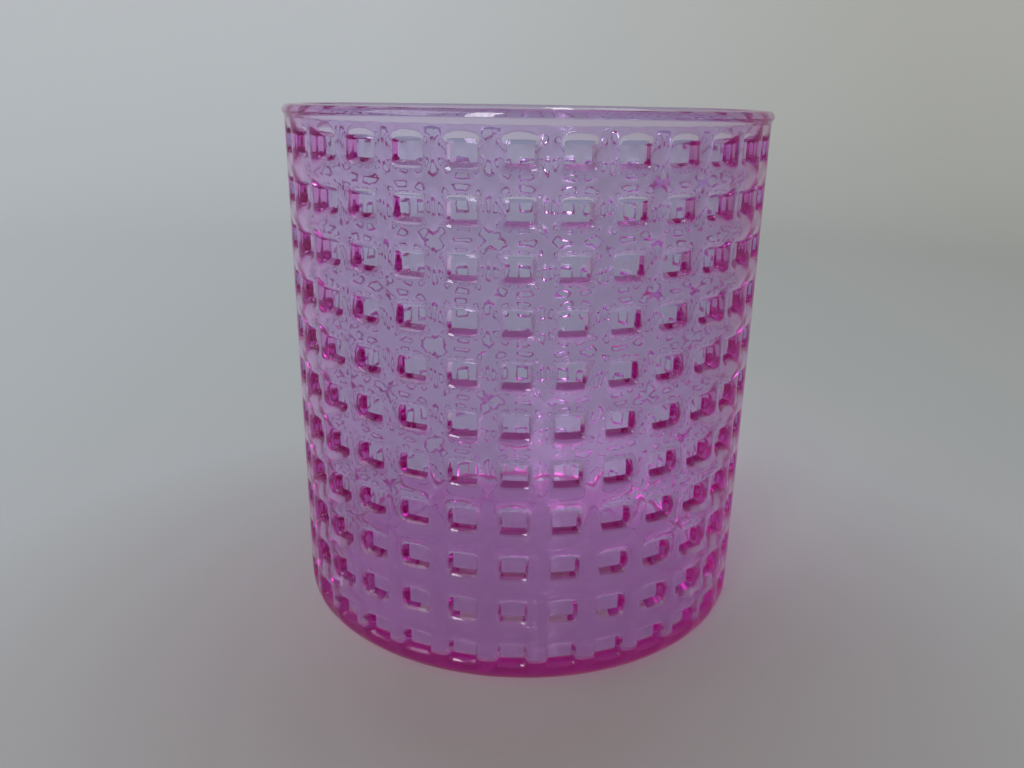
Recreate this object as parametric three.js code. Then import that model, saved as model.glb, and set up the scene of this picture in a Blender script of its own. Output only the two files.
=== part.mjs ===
// Tealight holder: a short round tumbler of pressed glass, made in one piece.
// Its outside is a waffle of square pockets between bars, its bore is smooth and its lip flares out
// a little over the waffle. Millimetres, +Z up, with the origin at the centre of the foot on the table.
// The front, towards -Y, looks squarely at one column of pockets.

import * as THREE from "three";

// Body
const height = 80;
const rimRadius = 37.5;
const footRadius = 36.5;
const rimWall = 3.1;
const lowerWall = 3.1;
const floorHeight = 2.2;
const floorFillet = 1.8;
const footRound = 3.3;

// Lip, which flares out over the relief and is rounded along both edges
const lipHeight = 1.75;
const lipOverhang = 0.4;
const lipRound = 1;

// Underside, which stands on a plain ring
const standingRingWidth = 5;
const undersideRecess = 0.3;
const recessRun = 1;

// Waffle relief
const columns = 32;
const rows = 11;
const collarHeight = 1.6;
const footMargin = 3.1;
const barWidth = 2.8;
const pocketDepth = 1.35;
const flatWidth = 3.6;
const flatHeight = 2.4;

// Fineness of the round parts, in flat steps
const lipSteps = 3;
const filletSteps = 6;
const footSteps = 3;

// The glass, as seen in daylight
const glassColour = 0xa878b8;
const glassRoughness = 0.06;
const glassMetalness = 0;
const glassOpacity = 0.55;

const quarterTurn = Math.PI / 2;
const columnAngle = (2 * Math.PI) / columns;
const reliefTop = height - lipHeight - collarHeight;
const rowPitch = (reliefTop - footMargin + barWidth) / rows;
const pocketHeight = rowPitch - barWidth;

// Radius of the body's straight taper at a height, before the foot is rounded.
function taperedRadius(z) {
  return THREE.MathUtils.lerp(footRadius, rimRadius - lipOverhang, z / height);
}

// Radius of the outside at a height: the taper, which ends in the rounded foot.
function outerRadius(z) {
  const below = Math.max(0, footRound - z);
  return taperedRadius(z) - footRound + Math.sqrt(footRound ** 2 - below ** 2);
}

// The closed skin of the glass, collected as points on rings and the faces between them.
// Every ring runs anticlockwise seen from above, and the rings follow one another from the middle
// of the underside, out and up the outside, over the lip and down the bore to the floor.
class Skin {
  constructor() {
    this.points = [];
    this.faces = [];
  }

  // Adds a point by its radius, its angle from the front and its height, and returns its number.
  point(radius, angle, z) {
    this.points.push(radius * Math.sin(angle), -radius * Math.cos(angle), z);
    return this.points.length / 3 - 1;
  }

  // Adds one ring with a point at each of the angles.
  ring(radius, z, angles) {
    return angles.map((angle) => this.point(radius, angle, z));
  }

  // Adds a four-sided face, with its corners anticlockwise seen from outside the glass.
  quad(a, b, c, d) {
    this.faces.push(a, b, c, a, c, d);
  }

  // Joins a ring to the next one along the skin.
  band(ring, next) {
    ring.forEach((corner, i) => {
      const j = (i + 1) % ring.length;
      this.quad(corner, ring[j], next[j], next[i]);
    });
  }

  // Joins the rings of a list in turn, and returns the last.
  bands(rings) {
    return rings.reduce((ring, next) => {
      this.band(ring, next);
      return next;
    });
  }

  // Opens the skin from a point on the axis to its first ring.
  fanOut(centre, ring) {
    ring.forEach((corner, i) => this.faces.push(centre, ring[(i + 1) % ring.length], corner));
  }

  // Closes the skin from its last ring to a point on the axis.
  fanIn(ring, centre) {
    ring.forEach((corner, i) => this.faces.push(corner, ring[(i + 1) % ring.length], centre));
  }

  geometry() {
    const geometry = new THREE.BufferGeometry();
    geometry.setAttribute("position", new THREE.Float32BufferAttribute(this.points, 3));
    geometry.setIndex(this.faces);
    geometry.computeVertexNormals();
    return geometry;
  }
}

// Two evenly spaced angles to a column, for the plain rings.
const evenAngles = Array.from({ length: 2 * columns }, (_, i) => (i / 2 - 1 / 4) * columnAngle);

// The angles of the left and right edge of every pocket at a radius.
function pocketAngles(radius) {
  const halfPocket = columnAngle / 2 - barWidth / 2 / radius;
  return Array.from({ length: columns }, (_, column) => [
    column * columnAngle - halfPocket,
    column * columnAngle + halfPocket,
  ]).flat();
}

// The sunken flat of one pocket: its four corners, anticlockwise from the lower left.
function flatCorners(skin, column, middle) {
  const corner = (side, z) => {
    const radius = outerRadius(z) - pocketDepth;
    const angle = column * columnAngle + (side * flatWidth) / 2 / radius;
    return skin.point(radius, angle, z);
  };
  const lower = middle - flatHeight / 2;
  const upper = middle + flatHeight / 2;
  return [corner(-1, lower), corner(1, lower), corner(1, upper), corner(-1, upper)];
}

// One row of pockets with the upright bars between them. Returns the rings it starts and ends on.
function pocketRow(skin, row) {
  const lower = footMargin + row * rowPitch;
  const upper = lower + pocketHeight;
  const [start, end] = [lower, upper].map((z) => {
    const radius = outerRadius(z);
    return skin.ring(radius, z, pocketAngles(radius));
  });
  for (let column = 0; column < columns; column += 1) {
    const left = 2 * column;
    const right = left + 1;
    const nextLeft = (left + 2) % (2 * columns);
    const edge = [start[left], start[right], end[right], end[left]];
    const flat = flatCorners(skin, column, (lower + upper) / 2);
    edge.forEach((corner, i) => {
      const j = (i + 1) % edge.length;
      skin.quad(corner, edge[j], flat[j], flat[i]);
    });
    skin.quad(...flat);
    skin.quad(start[right], start[nextLeft], end[nextLeft], end[right]);
  }
  return [start, end];
}

// The underside, from its middle to the outer edge of the ring that the holder stands on.
function underside(skin) {
  const outer = outerRadius(0);
  const inner = outer - standingRingWidth;
  const recess = skin.ring(inner - recessRun, undersideRecess, evenAngles);
  skin.fanOut(skin.point(0, 0, undersideRecess), recess);
  return skin.bands([recess, skin.ring(inner, 0, evenAngles), skin.ring(outer, 0, evenAngles)]);
}

// The rounded foot, from the standing ring up to the lowest row of pockets.
function foot(skin, standingRing) {
  const reliefAngle = Math.acos(Math.max(0, footRound - footMargin) / footRound);
  const rings = Array.from({ length: footSteps }, (_, i) => {
    const angle = (reliefAngle * (i + 1)) / (footSteps + 1);
    const z = footRound * (1 - Math.cos(angle));
    return skin.ring(outerRadius(z), z, evenAngles);
  });
  return skin.bands([standingRing, ...rings]);
}

// The waffle, row by row, with a level bar between each row and the next.
function relief(skin, footRing) {
  let below = footRing;
  for (let row = 0; row < rows; row += 1) {
    const [start, end] = pocketRow(skin, row);
    skin.band(below, start);
    below = end;
  }
  return below;
}

// The collar and the lip, from the top row of pockets to the mouth of the bore.
function lip(skin, reliefRing) {
  const base = height - lipHeight;
  const outerCentre = rimRadius - lipRound;
  const innerCentre = rimRadius - rimWall + lipRound;
  const rounded = (centre, start) =>
    Array.from({ length: lipSteps + 1 }, (_, i) => {
      const angle = start + (quarterTurn * i) / lipSteps;
      const radius = centre + lipRound * Math.cos(angle);
      return skin.ring(radius, height - lipRound * (1 - Math.sin(angle)), evenAngles);
    });
  const baseRing = skin.ring(outerRadius(base), base, evenAngles);
  const edges = [...rounded(outerCentre, 0), ...rounded(innerCentre, quarterTurn)];
  return skin.bands([reliefRing, baseRing, ...edges]);
}

// The tapered bore, its fillet and the flat floor that the tealight stands on.
function bore(skin, mouth) {
  const lowerRadius = taperedRadius(floorHeight + floorFillet) - lowerWall;
  const floorRadius = lowerRadius - floorFillet;
  const rings = Array.from({ length: filletSteps + 1 }, (_, i) => {
    const angle = (quarterTurn * i) / filletSteps;
    const radius = floorRadius + floorFillet * Math.cos(angle);
    return skin.ring(radius, floorHeight + floorFillet * (1 - Math.sin(angle)), evenAngles);
  });
  skin.fanIn(skin.bands([mouth, ...rings]), skin.point(0, 0, floorHeight));
}

function buildHolder() {
  const skin = new Skin();
  const standingRing = underside(skin);
  const footRing = foot(skin, standingRing);
  const reliefRing = relief(skin, footRing);
  const mouth = lip(skin, reliefRing);
  bore(skin, mouth);

  const glass = new THREE.MeshStandardMaterial({
    color: glassColour,
    roughness: glassRoughness,
    metalness: glassMetalness,
    transparent: true,
    opacity: glassOpacity,
  });
  const holder = new THREE.Mesh(skin.geometry(), glass);
  holder.name = "glass_holder";
  return holder;
}

const tealightHolder = new THREE.Group();
tealightHolder.add(buildHolder());

export default tealightHolder;
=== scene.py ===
"""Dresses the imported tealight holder: its pressed glass body, the studio round it and the camera.

The CAD solid has the holder's main shapes in flat facets. Here one finer body stands for it, with
rounded pockets, a smooth bore and a fire-polished lip, in glass that is tinted through its mass.
All lengths are metres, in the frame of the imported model, and angles are radians where no other
unit is named.
"""

from __future__ import annotations

import logging
import math
from dataclasses import dataclass, field
from enum import Enum
from functools import reduce

import bmesh
import bpy
from mathutils import Matrix, Vector

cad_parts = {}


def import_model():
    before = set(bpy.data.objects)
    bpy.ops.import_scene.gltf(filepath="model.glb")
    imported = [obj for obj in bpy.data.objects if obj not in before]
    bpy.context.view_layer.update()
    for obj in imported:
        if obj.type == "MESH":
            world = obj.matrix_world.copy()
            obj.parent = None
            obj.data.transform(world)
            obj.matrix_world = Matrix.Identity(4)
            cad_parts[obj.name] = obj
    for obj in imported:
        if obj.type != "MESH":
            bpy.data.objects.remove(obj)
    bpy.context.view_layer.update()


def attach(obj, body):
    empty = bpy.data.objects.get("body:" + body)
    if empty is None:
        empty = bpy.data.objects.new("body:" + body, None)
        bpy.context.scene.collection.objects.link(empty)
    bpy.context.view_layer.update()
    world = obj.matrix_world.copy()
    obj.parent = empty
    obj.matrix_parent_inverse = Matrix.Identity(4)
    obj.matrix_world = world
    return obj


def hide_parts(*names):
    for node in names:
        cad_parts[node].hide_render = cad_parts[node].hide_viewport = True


LOG = logging.getLogger("tealight_holder")
MM = 0.001
QUARTER_TURN = math.pi / 2

Colour = tuple[float, float, float]
ProfilePoint = tuple[float, float]
Profile = list[ProfilePoint]


def arc(centre: ProfilePoint, bend: float, start: float, turn: float, steps: int) -> Profile:
    """Follows an arc of a profile in straight steps, with both its ends.

    Args:
        centre: Radius and height of the arc's centre.
        bend: The arc's own radius.
        start: The angle it starts at, from straight outwards towards up.
        turn: The angle it turns by.
        steps: The number of steps.

    Returns:
        Radius and height of the points.
    """
    angles = [start + turn * i / steps for i in range(steps + 1)]
    return [(centre[0] + bend * math.cos(a), centre[1] + bend * math.sin(a)) for a in angles]


def between(first: ProfilePoint, last: ProfilePoint, shares: tuple[float, ...]) -> Profile:
    """Picks points on the straight line between two points of a profile.

    Args:
        first: Radius and height where the line starts.
        last: Radius and height where it ends.
        shares: How far along the line each point lies.

    Returns:
        Radius and height of the points.
    """
    return [
        (first[0] + (last[0] - first[0]) * share, first[1] + (last[1] - first[1]) * share)
        for share in shares
    ]


def all_corners(lower_left: list[tuple[float, float]], out: float) -> list[Vector]:
    """Repeats the lower left corner of a tile at its four corners.

    Args:
        lower_left: Place along the row and height of the corner's points, anticlockwise.
        out: How far outwards the points lie.

    Returns:
        Points with x along the row, y outwards and z up, anticlockwise seen from outside.
    """
    points = []
    for flip_x, flip_z in ((1, 1), (-1, 1), (-1, -1), (1, -1)):
        corner = [Vector((x * flip_x, out, z * flip_z)) for x, z in lower_left]
        points += corner if flip_x * flip_z > 0 else corner[::-1]
    return points


def join_rings(
    mesh: bmesh.types.BMesh, rings: list[list[bmesh.types.BMVert]]
) -> list[bmesh.types.BMFace]:
    """Joins each closed ring of points to the next with four-sided faces.

    Args:
        mesh: The mesh that holds the points.
        rings: Rings with the same number of points.

    Returns:
        The faces.
    """
    faces = []
    for ring, following in zip(rings, rings[1:]):
        for i, corner in enumerate(ring):
            j = (i + 1) % len(ring)
            faces.append(mesh.faces.new((corner, ring[j], following[j], following[i])))
    return faces


def mesh_object(mesh: bmesh.types.BMesh, name: str) -> bpy.types.Object:
    """Turns a finished mesh into an object of its own.

    Args:
        mesh: The mesh, which is freed.
        name: The object's name.

    Returns:
        The object, not yet in the scene.
    """
    data = bpy.data.meshes.new(name)
    mesh.to_mesh(data)
    mesh.free()
    return bpy.data.objects.new(name, data)


def show(made: bpy.types.Object) -> None:
    """Puts an object in the scene."""
    bpy.context.scene.collection.objects.link(made)


@dataclass(frozen=True)
class BodySizes:
    """The holder's plain form: a short tapered tumbler with a rounded foot, lip and floor."""

    height: float = 80 * MM
    rim_radius: float = 37.48 * MM
    foot_radius: float = 36.5 * MM
    rim_wall: float = 3.1 * MM
    lower_wall: float = 3.1 * MM
    floor_height: float = 2.2 * MM
    floor_fillet: float = 1.8 * MM
    foot_round: float = 3.3 * MM
    standing_ring: float = 5 * MM
    ring_edge_run: float = 0.1 * MM
    ring_edge_rise: float = 0.02 * MM
    underside_recess: float = 0.3 * MM
    recess_run: float = 1.0 * MM
    lip_height: float = 1.75 * MM
    lip_overhang: float = 0.38 * MM
    lip_round: float = 1.0 * MM
    mouth_round: float = 1.0 * MM

    @property
    def lip_base(self) -> float:
        """Height where the relief ends and the lip begins."""
        return self.height - self.lip_height

    @property
    def top_radius(self) -> float:
        """Radius of the taper at the full height, inside the lip's overhang."""
        return self.rim_radius - self.lip_overhang

    def tapered_radius(self, z: float) -> float:
        """Radius of the straight taper at a height."""
        share = z / self.height
        return self.foot_radius + (self.top_radius - self.foot_radius) * share

    def outer_radius(self, z: float) -> float:
        """Radius of the outside at a height, with the rounded foot.

        Args:
            z: The height.

        Returns:
            The radius.
        """
        below = max(0.0, self.foot_round - z)
        rounded = self.foot_round - math.sqrt(self.foot_round**2 - below**2)
        return self.tapered_radius(z) - rounded


@dataclass(frozen=True)
class PocketRing:
    """One closed ring of a pocket's tile: a rounded rectangle at a depth below the bars."""

    half_width: float
    half_height: float
    corner: float
    depth: float

    @property
    def straight_reach(self) -> tuple[float, float]:
        """How far its straight sides reach from the middle, along the row and upwards."""
        return self.half_width - self.corner, self.half_height - self.corner

    def points(self) -> list[Vector]:
        """Places the ring's twelve points, three to a corner.

        Returns:
            Points with x along the row, y outwards and z up, anticlockwise seen from outside.
        """
        inset = self.corner * (1 - math.sqrt(0.5))
        w, h, c = self.half_width, self.half_height, self.corner
        return all_corners([(-w, -h + c), (-w + inset, -h + inset), (-w + c, -h)], -self.depth)


@dataclass(frozen=True)
class Waffle:
    """The relief: a grid of sunken pockets, made as one tile and repeated by a node tree."""

    columns: int = 32
    rows: int = 11
    first_row: float = 1.7 * MM
    tile_width: float = 7.265 * MM
    smoothing: int = 1
    depth_play: float = 0.03
    sharp_angle: float = math.radians(40)
    weld_distance: float = 0.002 * MM
    seed: int = 7
    rings: tuple[PocketRing, ...] = (
        PocketRing(half_width=3.10 * MM, half_height=2.95 * MM, corner=1.70 * MM, depth=0.06 * MM),
        PocketRing(half_width=2.40 * MM, half_height=1.95 * MM, corner=0.70 * MM, depth=0.18 * MM),
        PocketRing(half_width=2.10 * MM, half_height=1.62 * MM, corner=0.45 * MM, depth=0.43 * MM),
        PocketRing(half_width=1.78 * MM, half_height=1.14 * MM, corner=0.15 * MM, depth=1.37 * MM),
    )

    def row_pitch(self, sizes: BodySizes) -> float:
        """Height of one tile on a body of the given sizes."""
        return (sizes.lip_base - self.first_row) / self.rows

    def seam_angles(self) -> list[float]:
        """Finds where the points along the grid's upper and lower edge lie.

        Returns:
            Their angles from the front, anticlockwise seen from above.
        """
        turn = 2 * math.pi / self.columns
        share = self.rings[0].straight_reach[0] / self.tile_width
        return [
            (column + place) * turn
            for column in range(self.columns)
            for place in (-0.5, -share, share)
        ]

    def tile(self, sizes: BodySizes) -> bpy.types.Object:
        """Builds the tile that the node tree repeats: one pocket between four half bars.

        Args:
            sizes: The body that carries the relief.

        Returns:
            A mesh object with x along the row, y outwards and z up, centred on the pocket.
        """
        half_w, half_h = self.tile_width / 2, self.row_pitch(sizes) / 2
        edge_x, edge_z = self.rings[0].straight_reach
        border = all_corners([(-half_w, -edge_z), (-half_w, -half_h), (-edge_x, -half_h)], 0.0)
        mesh = bmesh.new()
        outlines = [border, *(ring.points() for ring in self.rings)]
        loops = [[mesh.verts.new(point) for point in outline] for outline in outlines]
        join_rings(mesh, loops)
        mesh.faces.new(loops[-1])
        return mesh_object(mesh, "pocket_tile")


class SocketKind(Enum):
    """The kinds of input that a node tree here takes."""

    NUMBER = "NodeSocketFloat"
    COUNT = "NodeSocketInt"
    OBJECT = "NodeSocketObject"
    MATERIAL = "NodeSocketMaterial"
    GEOMETRY = "NodeSocketGeometry"


class NodeMaker:
    """Writes nodes and links in few words, so that a tree reads as a formula."""

    def __init__(self, tree: bpy.types.NodeTree) -> None:
        """Takes the tree to write in."""
        self.tree = tree

    def node(
        self, kind: str, sockets: dict[str | int, object], **settings: object
    ) -> bpy.types.Node:
        """Adds a node.

        Args:
            kind: The node's type.
            sockets: Values or other nodes' outputs for its inputs, by name or number.
            **settings: The node's own settings.

        Returns:
            The node.
        """
        made = self.tree.nodes.new(kind)
        for name, value in settings.items():
            setattr(made, name, value)
        for key, value in sockets.items():
            self.feed(made.inputs[key], value)
        return made

    def feed(self, socket: bpy.types.NodeSocket, value: object) -> None:
        """Links a socket to another one, or sets its value.

        Args:
            socket: The input to fill.
            value: A socket or a plain value.
        """
        if isinstance(value, bpy.types.NodeSocket):
            self.tree.links.new(value, socket)
        else:
            socket.default_value = value

    def sum(self, operation: str, *values: object) -> bpy.types.NodeSocket:
        """Does one step of arithmetic.

        Args:
            operation: The Math node's operation.
            *values: Its one or two operands.

        Returns:
            The result.
        """
        return self.node(
            "ShaderNodeMath", dict(enumerate(values)), operation=operation
        ).outputs[0]


class TreeMaker(NodeMaker):
    """Writes a geometry node tree with named inputs."""

    def __init__(self, name: str) -> None:
        """Starts an empty tree that takes and gives geometry.

        Args:
            name: The tree's name.
        """
        super().__init__(bpy.data.node_groups.new(name, "GeometryNodeTree"))
        self.identifiers: dict[str, str] = {}
        self.named_input("Body", SocketKind.GEOMETRY)
        self.tree.interface.new_socket(
            "Body", in_out="OUTPUT", socket_type=SocketKind.GEOMETRY.value
        )
        self.entry = self.tree.nodes.new("NodeGroupInput")

    def named_input(self, name: str, kind: SocketKind) -> None:
        """Adds an input of a kind to the tree, and notes the identifier that it gets."""
        item = self.tree.interface.new_socket(name, in_out="INPUT", socket_type=kind.value)
        self.identifiers[name] = item.identifier

    def given(self, name: str) -> bpy.types.NodeSocket:
        """The socket that carries a named input."""
        return self.entry.outputs[name]

    def close(self, geometry: bpy.types.NodeSocket) -> None:
        """Ends the tree with the finished geometry."""
        exit_node = self.tree.nodes.new("NodeGroupOutput")
        self.tree.links.new(geometry, exit_node.inputs[0])


class WaffleTree:
    """The node tree that wraps the pocket tiles round the body and closes the skin with them."""

    NUMBERS = (
        "Tile Width",
        "Row Pitch",
        "First Row",
        "Height",
        "Foot Radius",
        "Top Radius",
        "Foot Round",
        "Weld Distance",
        "Depth Play",
        "Sharp Angle",
    )
    COUNTS = ("Columns", "Rows", "Smoothing", "Seed")

    def __init__(self) -> None:
        """Builds the tree."""
        self.maker = TreeMaker("waffle_relief")
        for name in self.NUMBERS:
            self.maker.named_input(name, SocketKind.NUMBER)
        for name in self.COUNTS:
            self.maker.named_input(name, SocketKind.COUNT)
        self.maker.named_input("Tile", SocketKind.OBJECT)
        self.maker.named_input("Glass", SocketKind.MATERIAL)
        self.maker.close(self._finished(self._wrapped(self._tiles())))

    def hang_on(self, host: bpy.types.Object, values: dict[str, object]) -> None:
        """Gives an object a modifier that runs the tree.

        Args:
            host: The object.
            values: What each input gets, by its name.
        """
        relief = host.modifiers.new("relief", "NODES")
        relief.node_group = self.maker.tree
        for name, value in values.items():
            relief[self.maker.identifiers[name]] = value

    def _tiles(self) -> bpy.types.NodeSocket:
        """Lays the tiles out flat, row by row, each with a slightly different depth.

        Returns:
            The flat sheet of tiles.
        """
        m = self.maker
        count = m.sum("MULTIPLY", m.given("Columns"), m.given("Rows"))
        index = m.node("GeometryNodeInputIndex", {}).outputs[0]
        column = m.sum("MODULO", index, m.given("Columns"))
        row = m.sum("FLOOR", m.sum("DIVIDE", index, m.given("Columns")))
        middle = m.sum("MULTIPLY", m.sum("ADD", row, 0.5), m.given("Row Pitch"))
        place = m.node(
            "ShaderNodeCombineXYZ",
            {
                "X": m.sum("MULTIPLY", column, m.given("Tile Width")),
                "Z": m.sum("ADD", middle, m.given("First Row")),
            },
        )
        points = m.node("GeometryNodePoints", {"Count": count, "Position": place.outputs[0]})
        spread = m.node(
            "FunctionNodeRandomValue",
            {
                2: m.sum("SUBTRACT", 1.0, m.given("Depth Play")),
                3: m.sum("ADD", 1.0, m.given("Depth Play")),
                "Seed": m.given("Seed"),
            },
        )
        scale = m.node("ShaderNodeCombineXYZ", {"X": 1.0, "Y": spread.outputs[1], "Z": 1.0})
        tile = m.node("GeometryNodeObjectInfo", {"Object": m.given("Tile")})
        copies = m.node(
            "GeometryNodeInstanceOnPoints",
            {
                "Points": points.outputs[0],
                "Instance": tile.outputs["Geometry"],
                "Scale": scale.outputs[0],
            },
        )
        return m.node("GeometryNodeRealizeInstances", {"Geometry": copies.outputs[0]}).outputs[0]

    def _radius(self, offset: bpy.types.NodeSocket, z: bpy.types.NodeSocket) -> bpy.types.NodeSocket:
        """Works out the skin's radius: the taper with the pockets sunk in it, cut by the foot.

        Args:
            offset: Distance outwards from the bars.
            z: Height.

        Returns:
            The radius.
        """
        m = self.maker
        growth = m.sum("SUBTRACT", m.given("Top Radius"), m.given("Foot Radius"))
        slope = m.sum("DIVIDE", growth, m.given("Height"))
        taper = m.sum("ADD", m.sum("MULTIPLY", z, slope), m.given("Foot Radius"))
        below = m.sum("MAXIMUM", m.sum("SUBTRACT", m.given("Foot Round"), z), 0.0)
        square = m.sum("MULTIPLY", m.given("Foot Round"), m.given("Foot Round"))
        reach = m.sum("SQRT", m.sum("SUBTRACT", square, m.sum("MULTIPLY", below, below)))
        rounded = m.sum("SUBTRACT", m.sum("ADD", taper, reach), m.given("Foot Round"))
        return m.sum("MINIMUM", m.sum("ADD", taper, offset), rounded)

    def _wrapped(self, sheet: bpy.types.NodeSocket) -> bpy.types.NodeSocket:
        """Bends the flat sheet of tiles round the body.

        Args:
            sheet: The flat tiles.

        Returns:
            The wrapped relief.
        """
        m = self.maker
        position = m.node("GeometryNodeInputPosition", {}).outputs[0]
        split = m.node("ShaderNodeSeparateXYZ", {"Vector": position}).outputs
        turn = m.sum("DIVIDE", 2 * math.pi, m.given("Columns"))
        angle = m.sum("MULTIPLY", m.sum("DIVIDE", split["X"], m.given("Tile Width")), turn)
        radius = self._radius(split["Y"], split["Z"])
        forward = m.sum("MULTIPLY", m.sum("COSINE", angle), radius)
        bent = m.node(
            "ShaderNodeCombineXYZ",
            {
                "X": m.sum("MULTIPLY", m.sum("SINE", angle), radius),
                "Y": m.sum("MULTIPLY", forward, -1.0),
                "Z": split["Z"],
            },
        )
        return m.node(
            "GeometryNodeSetPosition", {"Geometry": sheet, "Position": bent.outputs[0]}
        ).outputs[0]

    def _sharp_edges(self) -> bpy.types.NodeSocket:
        """One at edges that bend by more than the sharp angle, as round a pocket's flat."""
        angle = self.maker.node("GeometryNodeInputMeshEdgeAngle", {}).outputs[0]
        return self.maker.sum("GREATER_THAN", angle, self.maker.given("Sharp Angle"))

    def _finished(self, relief: bpy.types.NodeSocket) -> bpy.types.NodeSocket:
        """Welds the relief to the plain skin, smooths the whole and gives it its glass.

        Args:
            relief: The wrapped tiles.

        Returns:
            The finished body.
        """
        m = self.maker
        joined = m.node("GeometryNodeJoinGeometry", {})
        m.feed(joined.inputs[0], m.given("Body"))
        m.feed(joined.inputs[0], relief)
        welded = m.node(
            "GeometryNodeMergeByDistance",
            {"Geometry": joined.outputs[0], "Distance": m.given("Weld Distance")},
        )
        smooth = m.node(
            "GeometryNodeSubdivisionSurface",
            {
                "Mesh": welded.outputs[0],
                "Level": m.given("Smoothing"),
                "Edge Crease": self._sharp_edges(),
            },
        )
        rounded = m.node("GeometryNodeSetShadeSmooth", {"Geometry": smooth.outputs[0]})
        shaded = m.node(
            "GeometryNodeSetShadeSmooth",
            {
                "Geometry": rounded.outputs[0],
                "Selection": self._sharp_edges(),
                "Shade Smooth": False,
            },
            domain="EDGE",
        )
        single = m.node("GeometryNodeRealizeInstances", {"Geometry": shaded.outputs[0]})
        return m.node(
            "GeometryNodeSetMaterial",
            {"Geometry": single.outputs[0], "Material": m.given("Glass")},
        ).outputs[0]


@dataclass(frozen=True)
class Ramp:
    """How a mask follows a value: evenly, from its first figure at the start to its last."""

    start: float
    end: float
    first: float = 0.0
    last: float = 1.0


class Blend(Enum):
    """The ways in which two colours are put together here."""

    MIX = "MIX"
    MULTIPLY = "MULTIPLY"


class ShaderMaker(NodeMaker):
    """Writes one material, in masks and colours."""

    def __init__(self, name: str) -> None:
        """Starts an empty material.

        Args:
            name: The material's name.
        """
        self.material = bpy.data.materials.new(name)
        self.material.use_nodes = True
        super().__init__(self.material.node_tree)
        self.tree.nodes.clear()

    def mask(self, value: object, ramp: Ramp) -> bpy.types.NodeSocket:
        """Turns a value into a mask.

        Args:
            value: What is measured.
            ramp: How the mask follows it.

        Returns:
            The mask.
        """
        sockets = {
            "Value": value,
            "From Min": ramp.start,
            "From Max": ramp.end,
            "To Min": ramp.first,
            "To Max": ramp.last,
        }
        return self.node("ShaderNodeMapRange", sockets).outputs["Result"]

    def all_of(self, *masks: bpy.types.NodeSocket) -> bpy.types.NodeSocket:
        """Multiplies masks, which leaves the places where all of them hold."""
        return reduce(lambda first, other: self.sum("MULTIPLY", first, other), masks)

    def blend(
        self, factor: object, first: object, second: object, way: Blend = Blend.MIX
    ) -> bpy.types.NodeSocket:
        """Puts two colours together.

        Args:
            factor: How much of the second.
            first: One colour.
            second: The other.
            way: How they are put together.

        Returns:
            The colour.
        """
        made = self.node(
            "ShaderNodeMix",
            {"Factor": factor, 6: first, 7: second},
            data_type="RGBA",
            blend_type=way.value,
        )
        return made.outputs[2]


@dataclass(frozen=True)
class SkinSockets:
    """What a finish knows of the spot on the skin that it dresses."""

    place: bpy.types.NodeSocket
    height: bpy.types.NodeSocket
    radius: bpy.types.NodeSocket
    rise: bpy.types.NodeSocket
    seen: bpy.types.NodeSocket

    @classmethod
    def of(cls, m: ShaderMaker) -> SkinSockets:
        """Adds the nodes that measure the spot.

        Args:
            m: The material's maker.

        Returns:
            Object coordinates, height, distance from the axis, how far the skin faces up, and
            one where the eye meets it from outside, directly or through clear glass.
        """
        place = m.node("ShaderNodeTexCoord", {}).outputs["Object"]
        level = m.node(
            "ShaderNodeVectorMath", {0: place, 1: (1.0, 1.0, 0.0)}, operation="MULTIPLY"
        ).outputs[0]
        geometry = m.node("ShaderNodeNewGeometry", {}).outputs
        scattered = m.node("ShaderNodeLightPath", {}).outputs["Is Diffuse Ray"]
        unseen = m.sum("MAXIMUM", geometry["Backfacing"], scattered)
        return cls(
            place=place,
            height=m.node("ShaderNodeSeparateXYZ", {0: place}).outputs["Z"],
            radius=m.node("ShaderNodeVectorMath", {0: level}, operation="LENGTH").outputs["Value"],
            rise=m.node("ShaderNodeSeparateXYZ", {0: geometry["True Normal"]}).outputs["Z"],
            seen=m.sum("SUBTRACT", 1.0, unseen),
        )


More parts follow.
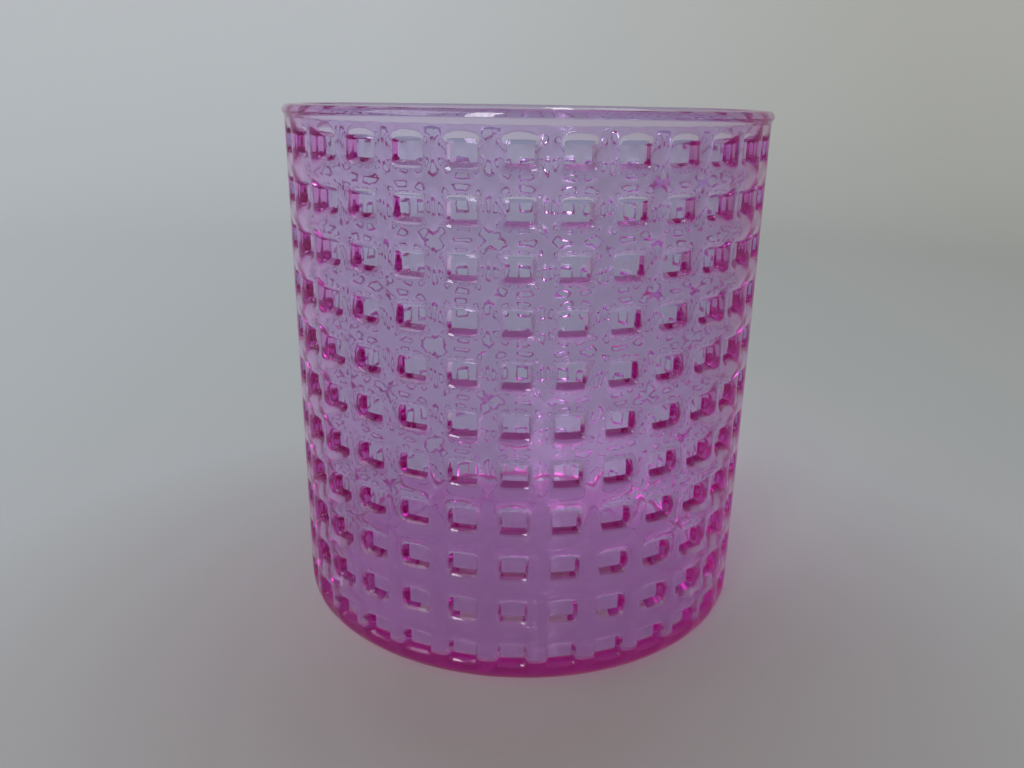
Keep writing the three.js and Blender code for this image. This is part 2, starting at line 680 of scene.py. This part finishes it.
@dataclass(frozen=True)
class PressedGlass:
    """Clear pressed glass, tinted pink-violet through its mass, with a faint mould ripple.

    The ramps say where each finish and each band of painted shade lies on the skin, by its
    height, its distance from the axis and how far it faces up.
    """

    name: str = "pink_violet_glass"
    ior: float = 1.52
    mass_colour: Colour = (0.91, 0.06, 0.77)
    mass_density: float = 103.0
    body_colour: Colour = (0.86, 0.97, 1.0)
    streak_colour: Colour = (0.84, 0.94, 0.99)
    streak_scale: float = 45.0
    streak_detail: float = 3.0
    streak_roughness: Ramp = Ramp(0.45, 0.75, first=0.02, last=0.07)
    # Painted shade: darker magenta on the pockets' lower walls, where the glass looks dark from
    # light led away inside it.
    wall_shade_colour: Colour = (0.56, 0.10, 0.38)
    wall_rise: Ramp = Ramp(0.3, 0.65)
    wall_radius: Ramp = Ramp(34.7 * MM, 34.8 * MM)
    wall_below_lip: Ramp = Ramp(78 * MM, 38 * MM, first=0.2)
    wall_above_foot: Ramp = Ramp(8 * MM, 20 * MM)
    # Painted shade: a deep magenta band along the foot, for the eye only, where little light reaches
    # into the thick glass.
    foot_shade_colour: Colour = (0.88, 0.03, 0.42)
    foot_radius: Ramp = Ramp(33.0 * MM, 33.3 * MM)
    foot_height: Ramp = Ramp(4.4 * MM, 4.0 * MM)
    # Painted shadow: a pink tint on the level underside, so the floor seen through the base looks as
    # if in the glass's pink shadow.
    underside_shadow_colour: Colour = (0.84, 0.66, 0.90)
    underside_rise: Ramp = Ramp(0.6, 0.9)
    underside_height: float = 0.9 * MM
    underside_roughness: float = 0.4
    ripple_scale: float = 260.0
    ripple_detail: float = 1.0
    ripple_height: float = 0.04 * MM
    shadow_colour: Colour = (0.93, 0.90, 0.93)
    shadow_share: float = 0.85

    def build(self) -> bpy.types.Material:
        """Makes the material.

        Returns:
            The glass, with its surface, its mass and the light that it lets through.
        """
        m = ShaderMaker(self.name)
        shadow = m.node("ShaderNodeLightPath", {}).outputs["Is Shadow Ray"]
        m.node(
            "ShaderNodeOutputMaterial",
            {"Surface": self._surface(m, shadow), "Volume": self._mass(m, shadow)},
        )
        return m.material

    def _surface(self, m: ShaderMaker, shadow: bpy.types.NodeSocket) -> bpy.types.NodeSocket:
        """Makes the skin, which bends what is seen through it but lets shadow rays straight on.

        Args:
            m: The material's maker.
            shadow: One for a shadow ray.

        Returns:
            The surface's shader.
        """
        skin = SkinSockets.of(m)
        streaks = self._noise(m, skin, self.streak_scale, self.streak_detail)
        glass = m.node(
            "ShaderNodeBsdfPrincipled",
            {
                "IOR": self.ior,
                "Transmission Weight": 1.0,
                "Base Color": self._colour(m, skin, streaks),
                "Roughness": self._roughness(m, skin, streaks),
                "Normal": self._ripple(m, skin),
            },
        )
        clear = m.node("ShaderNodeBsdfTransparent", {"Color": (*self.shadow_colour, 1.0)})
        return m.node(
            "ShaderNodeMixShader", {"Fac": shadow, 1: glass.outputs[0], 2: clear.outputs[0]}
        ).outputs[0]

    def _mass(self, m: ShaderMaker, shadow: bpy.types.NodeSocket) -> bpy.types.NodeSocket:
        """Makes the tinted mass, which takes less from shadow rays, as they cross it unbent.

        Args:
            m: The material's maker.
            shadow: One for a shadow ray.

        Returns:
            The volume's shader.
        """
        mass = m.node(
            "ShaderNodeVolumeAbsorption",
            {"Color": (*self.mass_colour, 1.0), "Density": self.mass_density},
        )
        spared = m.sum("MULTIPLY", shadow, self.shadow_share)
        return m.node("ShaderNodeMixShader", {"Fac": spared, 1: mass.outputs[0]}).outputs[0]

    def _noise(
        self, m: ShaderMaker, skin: SkinSockets, scale: float, detail: float
    ) -> bpy.types.NodeSocket:
        """Adds soft noise over the skin.

        Args:
            m: The material's maker.
            skin: The spot on the skin.
            scale: How fine the noise is.
            detail: How many finer layers it has.

        Returns:
            The noise.
        """
        return m.node(
            "ShaderNodeTexNoise", {"Vector": skin.place, "Scale": scale, "Detail": detail}
        ).outputs["Fac"]

    def _underside(self, m: ShaderMaker, skin: SkinSockets) -> bpy.types.NodeSocket:
        """Picks the level skin under the foot, as a mask."""
        low = m.sum("LESS_THAN", skin.height, self.underside_height)
        return m.all_of(low, m.mask(m.sum("ABSOLUTE", skin.rise), self.underside_rise))

    def _colour(
        self, m: ShaderMaker, skin: SkinSockets, streaks: bpy.types.NodeSocket
    ) -> bpy.types.NodeSocket:
        """Paints shade into the glass: darker at the pockets' lower walls and the foot, a pink
        shadow under it.

        Args:
            m: The material's maker.
            skin: The spot on the skin.
            streaks: Soft streaks in the glass.

        Returns:
            The colour that light takes on at the skin.
        """
        # Painted shade on the pockets' lower walls.
        walls = m.all_of(
            m.mask(skin.rise, self.wall_rise),
            m.mask(skin.radius, self.wall_radius),
            m.mask(skin.height, self.wall_below_lip),
            m.mask(skin.height, self.wall_above_foot),
        )
        # Painted shade along the foot, kept off scattered light so that it tints no floor.
        foot = m.all_of(
            m.mask(skin.height, self.foot_height),
            m.mask(skin.radius, self.foot_radius),
            skin.seen,
        )
        colour = m.blend(streaks, (*self.body_colour, 1.0), (*self.streak_colour, 1.0))
        colour = m.blend(walls, colour, (*self.wall_shade_colour, 1.0))
        # Painted pink shadow under the foot.
        colour = m.blend(self._underside(m, skin), colour, (*self.underside_shadow_colour, 1.0))
        return m.blend(foot, colour, (*self.foot_shade_colour, 1.0))

    def _roughness(
        self, m: ShaderMaker, skin: SkinSockets, streaks: bpy.types.NodeSocket
    ) -> bpy.types.NodeSocket:
        """Leaves the skin polished, a little unevenly, but for the underside, which is ground.

        Args:
            m: The material's maker.
            skin: The spot on the skin.
            streaks: Soft streaks in the glass.

        Returns:
            The roughness.
        """
        ground = m.sum("MULTIPLY", self._underside(m, skin), self.underside_roughness)
        return m.sum("MAXIMUM", m.mask(streaks, self.streak_roughness), ground)

    def _ripple(self, m: ShaderMaker, skin: SkinSockets) -> bpy.types.NodeSocket:
        """Raises the faint ripple that the mould leaves.

        Args:
            m: The material's maker.
            skin: The spot on the skin.

        Returns:
            The bent normal.
        """
        ripple = self._noise(m, skin, self.ripple_scale, self.ripple_detail)
        bump = m.node("ShaderNodeBump", {"Height": ripple, "Distance": self.ripple_height})
        return bump.outputs["Normal"]


@dataclass(frozen=True)
class GlassHolder:
    """The holder itself: one pressing of glass that stands for the CAD solid.

    The shares say how far along each straight stretch of the profile its rings lie.
    """

    sizes: BodySizes = field(default_factory=BodySizes)
    waffle: Waffle = field(default_factory=Waffle)
    glass: PressedGlass = field(default_factory=PressedGlass)
    name: str = "pressed_glass_body"
    cad_node: str = "glass_holder"
    slot: str = "pink_violet_glass"
    recess_shares: tuple[float, ...] = (0.1, 0.5, 0.9, 1.0)
    ring_shares: tuple[float, ...] = (0.12, 0.5, 0.94)
    flare_shares: tuple[float, ...] = (0.12, 0.5, 0.85)
    bore_shares: tuple[float, ...] = (0.03, 0.3, 0.6, 0.9)
    floor_shares: tuple[float, ...] = (0.8, 0.4, 0.1)
    foot_steps: int = 3
    lip_steps: int = 3
    fillet_steps: int = 6

    def foot_profile(self) -> Profile:
        """Follows the skin from the middle of the underside to the relief's lower edge.

        Returns:
            Radius and height of the rings.
        """
        s = self.sizes
        outer = s.outer_radius(0.0)
        inner = outer - s.standing_ring
        recess = inner - s.recess_run
        rings = between((0.0, s.underside_recess), (recess, s.underside_recess), self.recess_shares)
        rings.append((inner - s.ring_edge_run, s.ring_edge_rise))
        rings += between((inner, 0.0), (outer, 0.0), self.ring_shares)
        relief_angle = math.acos((s.foot_round - self.waffle.first_row) / s.foot_round)
        for i in range(1, self.foot_steps):
            z = s.foot_round * (1 - math.cos(relief_angle * i / self.foot_steps))
            rings.append((s.outer_radius(z), z))
        rings.append((s.outer_radius(self.waffle.first_row), self.waffle.first_row))
        return rings

    def lip_profile(self) -> Profile:
        """Follows the skin from the relief's upper edge up the flare and over the lip.

        Returns:
            Radius and height of the rings.
        """
        s = self.sizes
        base = (s.outer_radius(s.lip_base), s.lip_base)
        brow = (s.rim_radius, s.height - s.lip_round)
        outer = (s.rim_radius - s.lip_round, s.height - s.lip_round)
        inner = (s.rim_radius - s.rim_wall + s.mouth_round, s.height - s.mouth_round)
        return [
            base,
            *between(base, brow, self.flare_shares),
            *arc(outer, s.lip_round, 0.0, QUARTER_TURN, self.lip_steps),
            *arc(inner, s.mouth_round, QUARTER_TURN, QUARTER_TURN, self.lip_steps),
        ]

    def bore_profile(self) -> Profile:
        """Follows the skin down the bore and over its floor.

        Returns:
            Radius and height of the rings, from under the lip to near the floor's middle.
        """
        s = self.sizes
        fillet_top = s.floor_height + s.floor_fillet
        mouth = (s.rim_radius - s.rim_wall, s.height - s.mouth_round)
        lower = (s.tapered_radius(fillet_top) - s.lower_wall, fillet_top)
        floor_radius = lower[0] - s.floor_fillet
        fillet = (floor_radius, fillet_top)
        return [
            *between(mouth, lower, self.bore_shares),
            *arc(fillet, s.floor_fillet, 0.0, -QUARTER_TURN, self.fillet_steps),
            *between((0.0, s.floor_height), (floor_radius, s.floor_height), self.floor_shares),
        ]

    def plain_skin(self) -> bpy.types.Object:
        """Turns the profile's two open shells, which the relief closes between them.

        Returns:
            A mesh object with the foot and underside, and the lip, bore and floor.
        """
        mesh = bmesh.new()
        foot = self._lathe(mesh, self.foot_profile())
        bowl = self._lathe(mesh, self.lip_profile() + self.bore_profile())
        mesh.faces.new(foot[0][::-1])
        mesh.faces.new(bowl[-1])
        return mesh_object(mesh, "plain_skin")

    def _lathe(
        self, mesh: bmesh.types.BMesh, profile: Profile
    ) -> list[list[bmesh.types.BMVert]]:
        """Turns a profile about the axis, with its points under the waffle's seams.

        Args:
            mesh: The mesh to add to.
            profile: Radius and height of each ring, along the skin.

        Returns:
            The rings' points.
        """
        angles = self.waffle.seam_angles()
        rings = [
            [mesh.verts.new((r * math.sin(a), -r * math.cos(a), z)) for a in angles]
            for r, z in profile
        ]
        join_rings(mesh, rings)
        return rings

    def build(self) -> bpy.types.Object:
        """Builds the glass body and puts it in the CAD solid's place.

        Returns:
            The finished piece.
        """
        s, w = self.sizes, self.waffle
        host = self.plain_skin()
        show(host)
        tile = w.tile(s)
        values = {
            "Tile Width": w.tile_width,
            "Row Pitch": w.row_pitch(s),
            "First Row": w.first_row,
            "Height": s.height,
            "Foot Radius": s.foot_radius,
            "Top Radius": s.top_radius,
            "Foot Round": s.foot_round,
            "Weld Distance": w.weld_distance,
            "Depth Play": w.depth_play,
            "Sharp Angle": w.sharp_angle,
            "Columns": w.columns,
            "Rows": w.rows,
            "Smoothing": w.smoothing,
            "Seed": w.seed,
            "Tile": tile,
            "Glass": self.glass.build(),
        }
        WaffleTree().hang_on(host, values)
        bpy.context.view_layer.update()
        ready = host.evaluated_get(bpy.context.evaluated_depsgraph_get())
        data = bpy.data.meshes.new_from_object(ready)
        data.name = self.name
        host.modifiers.clear()
        bpy.data.objects.remove(host)
        bpy.data.objects.remove(tile)
        piece = bpy.data.objects.new(self.name, data)
        show(piece)
        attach(piece, "root")
        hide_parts(self.cad_node)
        return piece


@dataclass(frozen=True)
class PaperSweep:
    """The pale floor that rises in one curve all round, far behind the object."""

    middle_radius: float = 0.05
    floor_radius: float = 0.45
    bend_radius: float = 0.35
    wall_height: float = 0.41
    drop: float = 0.03 * MM
    # Painted shadow: pinkish grey near the object, centred a little in front of it, for the shadow
    # of the glass and of the camera.
    near_shadow_colour: Colour = (0.30, 0.255, 0.24)
    middle_colour: Colour = (0.50, 0.50, 0.485)
    # Painted light: the paper is painted lighter far from the object.
    far_light_colour: Colour = (0.74, 0.73, 0.71)
    left_tint: Colour = (1.0, 1.0, 1.0)
    # Painted shade: darker and warmer to the right, away from the bluish light on the left.
    right_shade_tint: Colour = (0.84, 0.81, 0.73)
    shade_centre: tuple[float, float, float] = (0.0, -0.035, 0.0)
    near_reach: Ramp = Ramp(0.015, 0.11)
    far_reach: Ramp = Ramp(0.11, 0.85)
    right_reach: Ramp = Ramp(-0.15, 0.3)
    roughness: float = 0.9
    specular: float = 0.2
    segments: int = 96
    bend_steps: int = 16

    def build(self) -> bpy.types.Object:
        """Builds the sheet and dresses it in matt paper with painted shade and light.

        Returns:
            The sheet.
        """
        bend_centre = (self.floor_radius, self.bend_radius)
        profile = [
            (self.middle_radius, 0.0),
            *arc(bend_centre, self.bend_radius, -QUARTER_TURN, QUARTER_TURN, self.bend_steps),
            (self.floor_radius + self.bend_radius, self.wall_height),
        ]
        angles = [2 * math.pi * i / self.segments for i in range(self.segments)]
        mesh = bmesh.new()
        rings = [
            [mesh.verts.new((r * math.cos(a), r * math.sin(a), z - self.drop)) for a in angles]
            for r, z in profile
        ]
        mesh.faces.new(rings[0])
        for face in join_rings(mesh, rings[::-1]):
            face.smooth = True
        sweep = mesh_object(mesh, "paper_sweep")
        show(sweep)
        sweep.data.materials.append(self._paper())
        return sweep

    def _paper(self) -> bpy.types.Material:
        """Makes the matt paper, with a painted shadow near the object, painted light far off and
        painted warmer shade to the right.

        Returns:
            The material.
        """
        m = ShaderMaker("matt_paper")
        place = m.node("ShaderNodeTexCoord", {}).outputs["Object"]
        reach = m.node(
            "ShaderNodeVectorMath", {0: place, 1: self.shade_centre}, operation="DISTANCE"
        ).outputs["Value"]
        side = m.node("ShaderNodeSeparateXYZ", {0: place}).outputs["X"]
        # Painted shadow round the object.
        near, middle = (*self.near_shadow_colour, 1.0), (*self.middle_colour, 1.0)
        colour = m.blend(m.mask(reach, self.near_reach), near, middle)
        # Painted light far off.
        colour = m.blend(m.mask(reach, self.far_reach), colour, (*self.far_light_colour, 1.0))
        # Painted shade: darker and warmer to the right.
        left, right = (*self.left_tint, 1.0), (*self.right_shade_tint, 1.0)
        tint = m.blend(m.mask(side, self.right_reach), left, right)
        shader = m.node(
            "ShaderNodeBsdfPrincipled",
            {
                "Base Color": m.blend(1.0, colour, tint, Blend.MULTIPLY),
                "Roughness": self.roughness,
                "Specular IOR Level": self.specular,
            },
        )
        m.node("ShaderNodeOutputMaterial", {"Surface": shader.outputs[0]})
        return m.material


@dataclass(frozen=True)
class WindowLight:
    """A soft rectangular light that looks at the object like a window.

    Its azimuth is in degrees from the front to the right, its elevation in degrees above the
    floor and its power in watts.
    """

    name: str
    azimuth: float
    elevation: float
    distance: float
    width: float
    height: float
    power: float
    colour: Colour

    def build(self, target: Vector) -> bpy.types.Object:
        """Adds the light.

        Args:
            target: The point that it looks at.

        Returns:
            The light's object.
        """
        data = bpy.data.lights.new(self.name, "AREA")
        data.shape = "RECTANGLE"
        data.size, data.size_y = self.width, self.height
        data.energy = self.power
        data.color = self.colour
        lamp = bpy.data.objects.new(self.name, data)
        turn, lift = math.radians(self.azimuth), math.radians(self.elevation)
        level = Vector((math.sin(turn), -math.cos(turn), 0.0)) * math.cos(lift)
        towards = level + Vector((0.0, 0.0, math.sin(lift)))
        lamp.location = target + towards * self.distance
        lamp.rotation_euler = (-towards).to_track_quat("-Z", "Y").to_euler()
        show(lamp)
        return lamp


@dataclass(frozen=True)
class Studio:
    """The light round the object: a soft sky and two windows."""

    sky_colour: Colour = (0.74, 0.85, 1.0)
    sky_strength: float = 0.37
    target: tuple[float, float, float] = (0.0, 0.0, 0.04)
    windows: tuple[WindowLight, ...] = (
        WindowLight(
            "left_window",
            azimuth=-65.0,
            elevation=46.0,
            distance=1.35,
            width=0.8,
            height=0.8,
            power=5.4,
            colour=(0.86, 0.93, 1.0),
        ),
        WindowLight(
            "front_window",
            azimuth=-21.0,
            elevation=42.0,
            distance=1.1,
            width=0.22,
            height=0.8,
            power=5.8,
            colour=(0.97, 0.98, 1.0),
        ),
    )

    def build(self) -> None:
        """Adds the sky and the windows."""
        world = bpy.data.worlds.new("soft_sky")
        world.use_nodes = True
        background = world.node_tree.nodes["Background"]
        background.inputs["Color"].default_value = (*self.sky_colour, 1.0)
        background.inputs["Strength"].default_value = self.sky_strength
        bpy.context.scene.world = world
        for window in self.windows:
            window.build(Vector(self.target))


@dataclass(frozen=True)
class PhotoCamera:
    """The camera at the photograph's place, from the fit of the outline and the pocket grid.

    Its sensor is in millimetres, as the camera's data takes it, and its focal length in pixels of
    the photograph.
    """

    reach: float = 149.24 * MM
    rise: float = 81.3 * MM
    turn: float = math.radians(1.144)
    yaw: float = -0.01168
    pitch: float = 0.3040
    roll: float = 0.01595
    focal_pixels: float = 914.64
    photo_width: int = 1024
    sensor_width: float = 36.0
    near_clip: float = 0.01

    def build(self) -> bpy.types.Object:
        """Adds the camera and makes it the scene's.

        Returns:
            The camera's object.
        """
        data = bpy.data.cameras.new("photo_camera")
        data.sensor_width = self.sensor_width
        data.lens = self.focal_pixels * self.sensor_width / self.photo_width
        data.clip_start = self.near_clip
        camera = bpy.data.objects.new("photo_camera", data)
        camera.matrix_world = Matrix.Translation(self._place()) @ self._aim()
        show(camera)
        bpy.context.scene.camera = camera
        return camera

    def _place(self) -> Vector:
        """The point that the camera looks from."""
        return Vector(
            (self.reach * math.sin(self.turn), -self.reach * math.cos(self.turn), self.rise)
        )

    def _aim(self) -> Matrix:
        """Turns the camera: to the side by its yaw, down by its pitch, then by its roll.

        Returns:
            The turn, without a place.
        """
        heading = self.yaw - self.turn
        ahead = Vector((math.sin(heading), math.cos(heading), 0.0)) * math.cos(self.pitch)
        forward = ahead - Vector((0.0, 0.0, math.sin(self.pitch)))
        level = Vector((math.cos(heading), -math.sin(heading), 0.0))
        upright = level.cross(forward)
        right = level * math.cos(self.roll) + upright * math.sin(self.roll)
        up = upright * math.cos(self.roll) - level * math.sin(self.roll)
        return Matrix((right, up, -forward)).transposed().to_4x4()


@dataclass(frozen=True)
class LightPaths:
    """How many walls of the waffle light passes before it is given up."""

    glass_walls: int = 96
    shadow_walls: int = 32

    def apply(self) -> None:
        """Sets the scene's light paths, and plain colours without a film look."""
        scene = bpy.context.scene
        scene.view_settings.view_transform = "Standard"
        scene.cycles.max_bounces = self.glass_walls
        scene.cycles.transmission_bounces = self.glass_walls
        scene.cycles.glossy_bounces = self.glass_walls
        scene.cycles.transparent_max_bounces = self.shadow_walls


def main() -> None:
    """Builds the dressed holder, its studio and the camera, in that order."""
    logging.basicConfig(level=logging.INFO, format="%(name)s: %(message)s")
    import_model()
    piece = GlassHolder().build()
    LOG.info("%s: %d faces", piece.name, len(piece.data.polygons))
    PaperSweep().build()
    Studio().build()
    PhotoCamera().build()
    LightPaths().apply()


if __name__ == "__main__":
    main()
